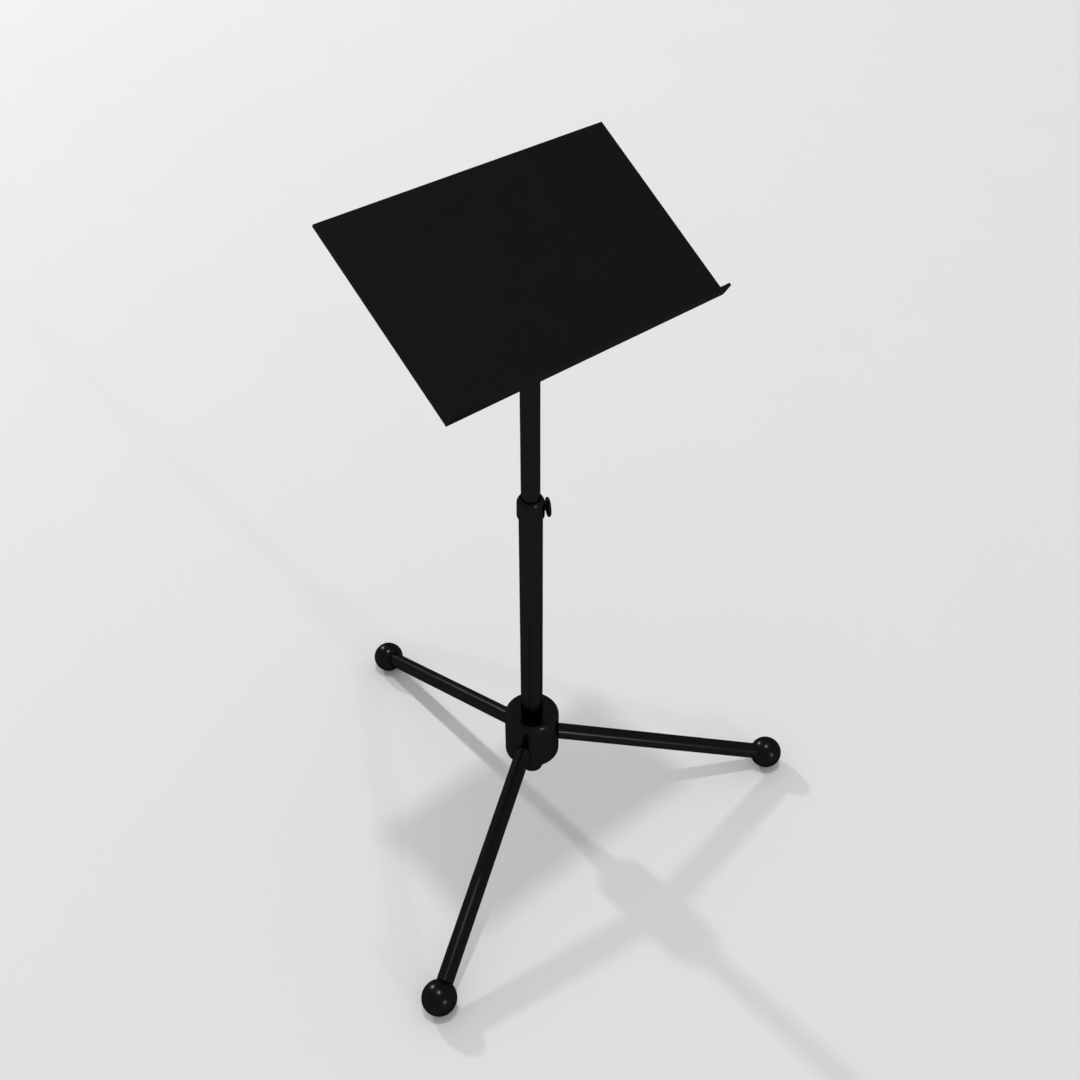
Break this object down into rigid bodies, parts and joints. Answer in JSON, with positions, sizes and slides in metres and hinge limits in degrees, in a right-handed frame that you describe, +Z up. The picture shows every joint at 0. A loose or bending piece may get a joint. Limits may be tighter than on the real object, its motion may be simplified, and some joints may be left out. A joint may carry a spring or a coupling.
{
  "type": "music stand",
  "caption": "Free-standing music stand: three fixed legs on ball feet, a telescopic column with a clamp collar, and a flat tilting desk with a ledge.",
  "frame": {"origin": "on the floor, on the pole's axis", "axes": "+Z up along the pole; the desk faces -Y, +X is to the player's right, one leg points to +Y and two to the front left and right"},
  "size_m": [0.8222, 0.7196, 1.1677],
  "materials": {
    "painted_casting": "satin black stove enamel on a turned iron hub, very fine orange peel",
    "painted_leg_tube": "satin black stove enamel on drawn steel tube",
    "painted_tube": "satin black stove enamel on drawn steel tube, light sliding wear",
    "painted_fitting": "satin black enamel on steel fittings",
    "painted_sheet": "satin black fine-grained powder coat on sheet steel",
    "moulded_black": "satin black moulded nylon",
    "ball_rubber": "hard black rubber, semi-gloss",
    "nylon": "natural off-white nylon",
    "insert_brass": "turned brass",
    "plug_steel": "turned mild steel",
    "fastener_steel": "black-zinc plated steel"
  },
  "bodies": {
    "base": {"hub": "painted_casting", "pole_set_screws": "fastener_steel", "leg_set_screws": "fastener_steel", "front_left_leg": "painted_leg_tube", "front_right_leg": "painted_leg_tube", "back_leg": "painted_leg_tube", "front_left_root_plug": "plug_steel", "front_right_root_plug": "plug_steel", "back_root_plug": "plug_steel", "front_left_foot_plug": "plug_steel", "front_right_foot_plug": "plug_steel", "back_foot_plug": "plug_steel", "front_left_ball_foot": "ball_rubber", "front_right_ball_foot": "ball_rubber", "back_ball_foot": "ball_rubber", "lower_tube": "painted_tube", "pole_end_plug": "moulded_black", "clamp_collar": "painted_fitting", "guide_bush": "moulded_black", "clamp_insert": "fastener_steel"},
    "clamp_pad": {"clamp_pad": "nylon"},
    "clamp_knob": {"clamp_screw": "fastener_steel", "clamp_knob": "moulded_black"},
    "slide_bush": {"slide_bush": "nylon"},
    "upper_tube": {"upper_tube": "painted_tube", "tail_plug": "moulded_black", "snap_ring": "fastener_steel", "tilt_head": "painted_fitting", "head_roll_pin": "fastener_steel", "friction_washers": "nylon"},
    "desk": {"desk_panel": "painted_sheet", "music_ledge": "painted_sheet", "ledge_studs": "fastener_steel", "ledge_nuts": "fastener_steel", "desk_bracket": "painted_fitting", "bracket_studs": "fastener_steel", "bracket_nuts": "fastener_steel", "tilt_bolt": "fastener_steel"},
    "thrust_washer": {"thrust_washer": "fastener_steel"},
    "tilt_knob": {"tilt_knob": "moulded_black", "tilt_knob_insert": "insert_brass"}
  },
  "joints": [
    {"name": "height_slide", "type": "slide", "parent": "base", "child": "slide_bush", "axis": [0, 0, 1], "range_m": [-0.28, 0.13]},
    {"name": "column_swivel", "type": "hinge", "parent": "slide_bush", "child": "upper_tube", "pos_m": [0, 0, 0.42], "axis": [0, 0, 1], "continuous": true},
    {"name": "desk_tilt", "type": "hinge", "parent": "upper_tube", "child": "desk", "pos_m": [0, 0, 1.04154], "axis": [1, 0, 0], "range_deg": [-32.7, 52.3]},
    {"name": "clamp_pad_travel", "type": "slide", "parent": "base", "child": "clamp_pad", "axis": [0.866, -0.5, 0], "range_m": [0, 0.001]},
    {"name": "clamp_knob_turn", "type": "hinge", "parent": "clamp_pad", "child": "clamp_knob", "pos_m": [0.02312, -0.01335, 0.674], "axis": [0.866, -0.5, 0], "range_deg": [0, 360]},
    {"name": "thrust_washer_travel", "type": "slide", "parent": "desk", "child": "thrust_washer", "axis": [1, 0, 0], "range_m": [0, 0.00125]},
    {"name": "tilt_knob_turn", "type": "hinge", "parent": "thrust_washer", "child": "tilt_knob", "pos_m": [0.022, 0, 1.04154], "axis": [1, 0, 0], "range_deg": [0, 360]}
  ],
  "couplings": [
    {"joint": "clamp_pad_travel", "follows": "clamp_knob_turn", "m_per_rad": 0.00015756},
    {"joint": "thrust_washer_travel", "follows": "tilt_knob_turn", "m_per_rad": 0.00019735}
  ]
}
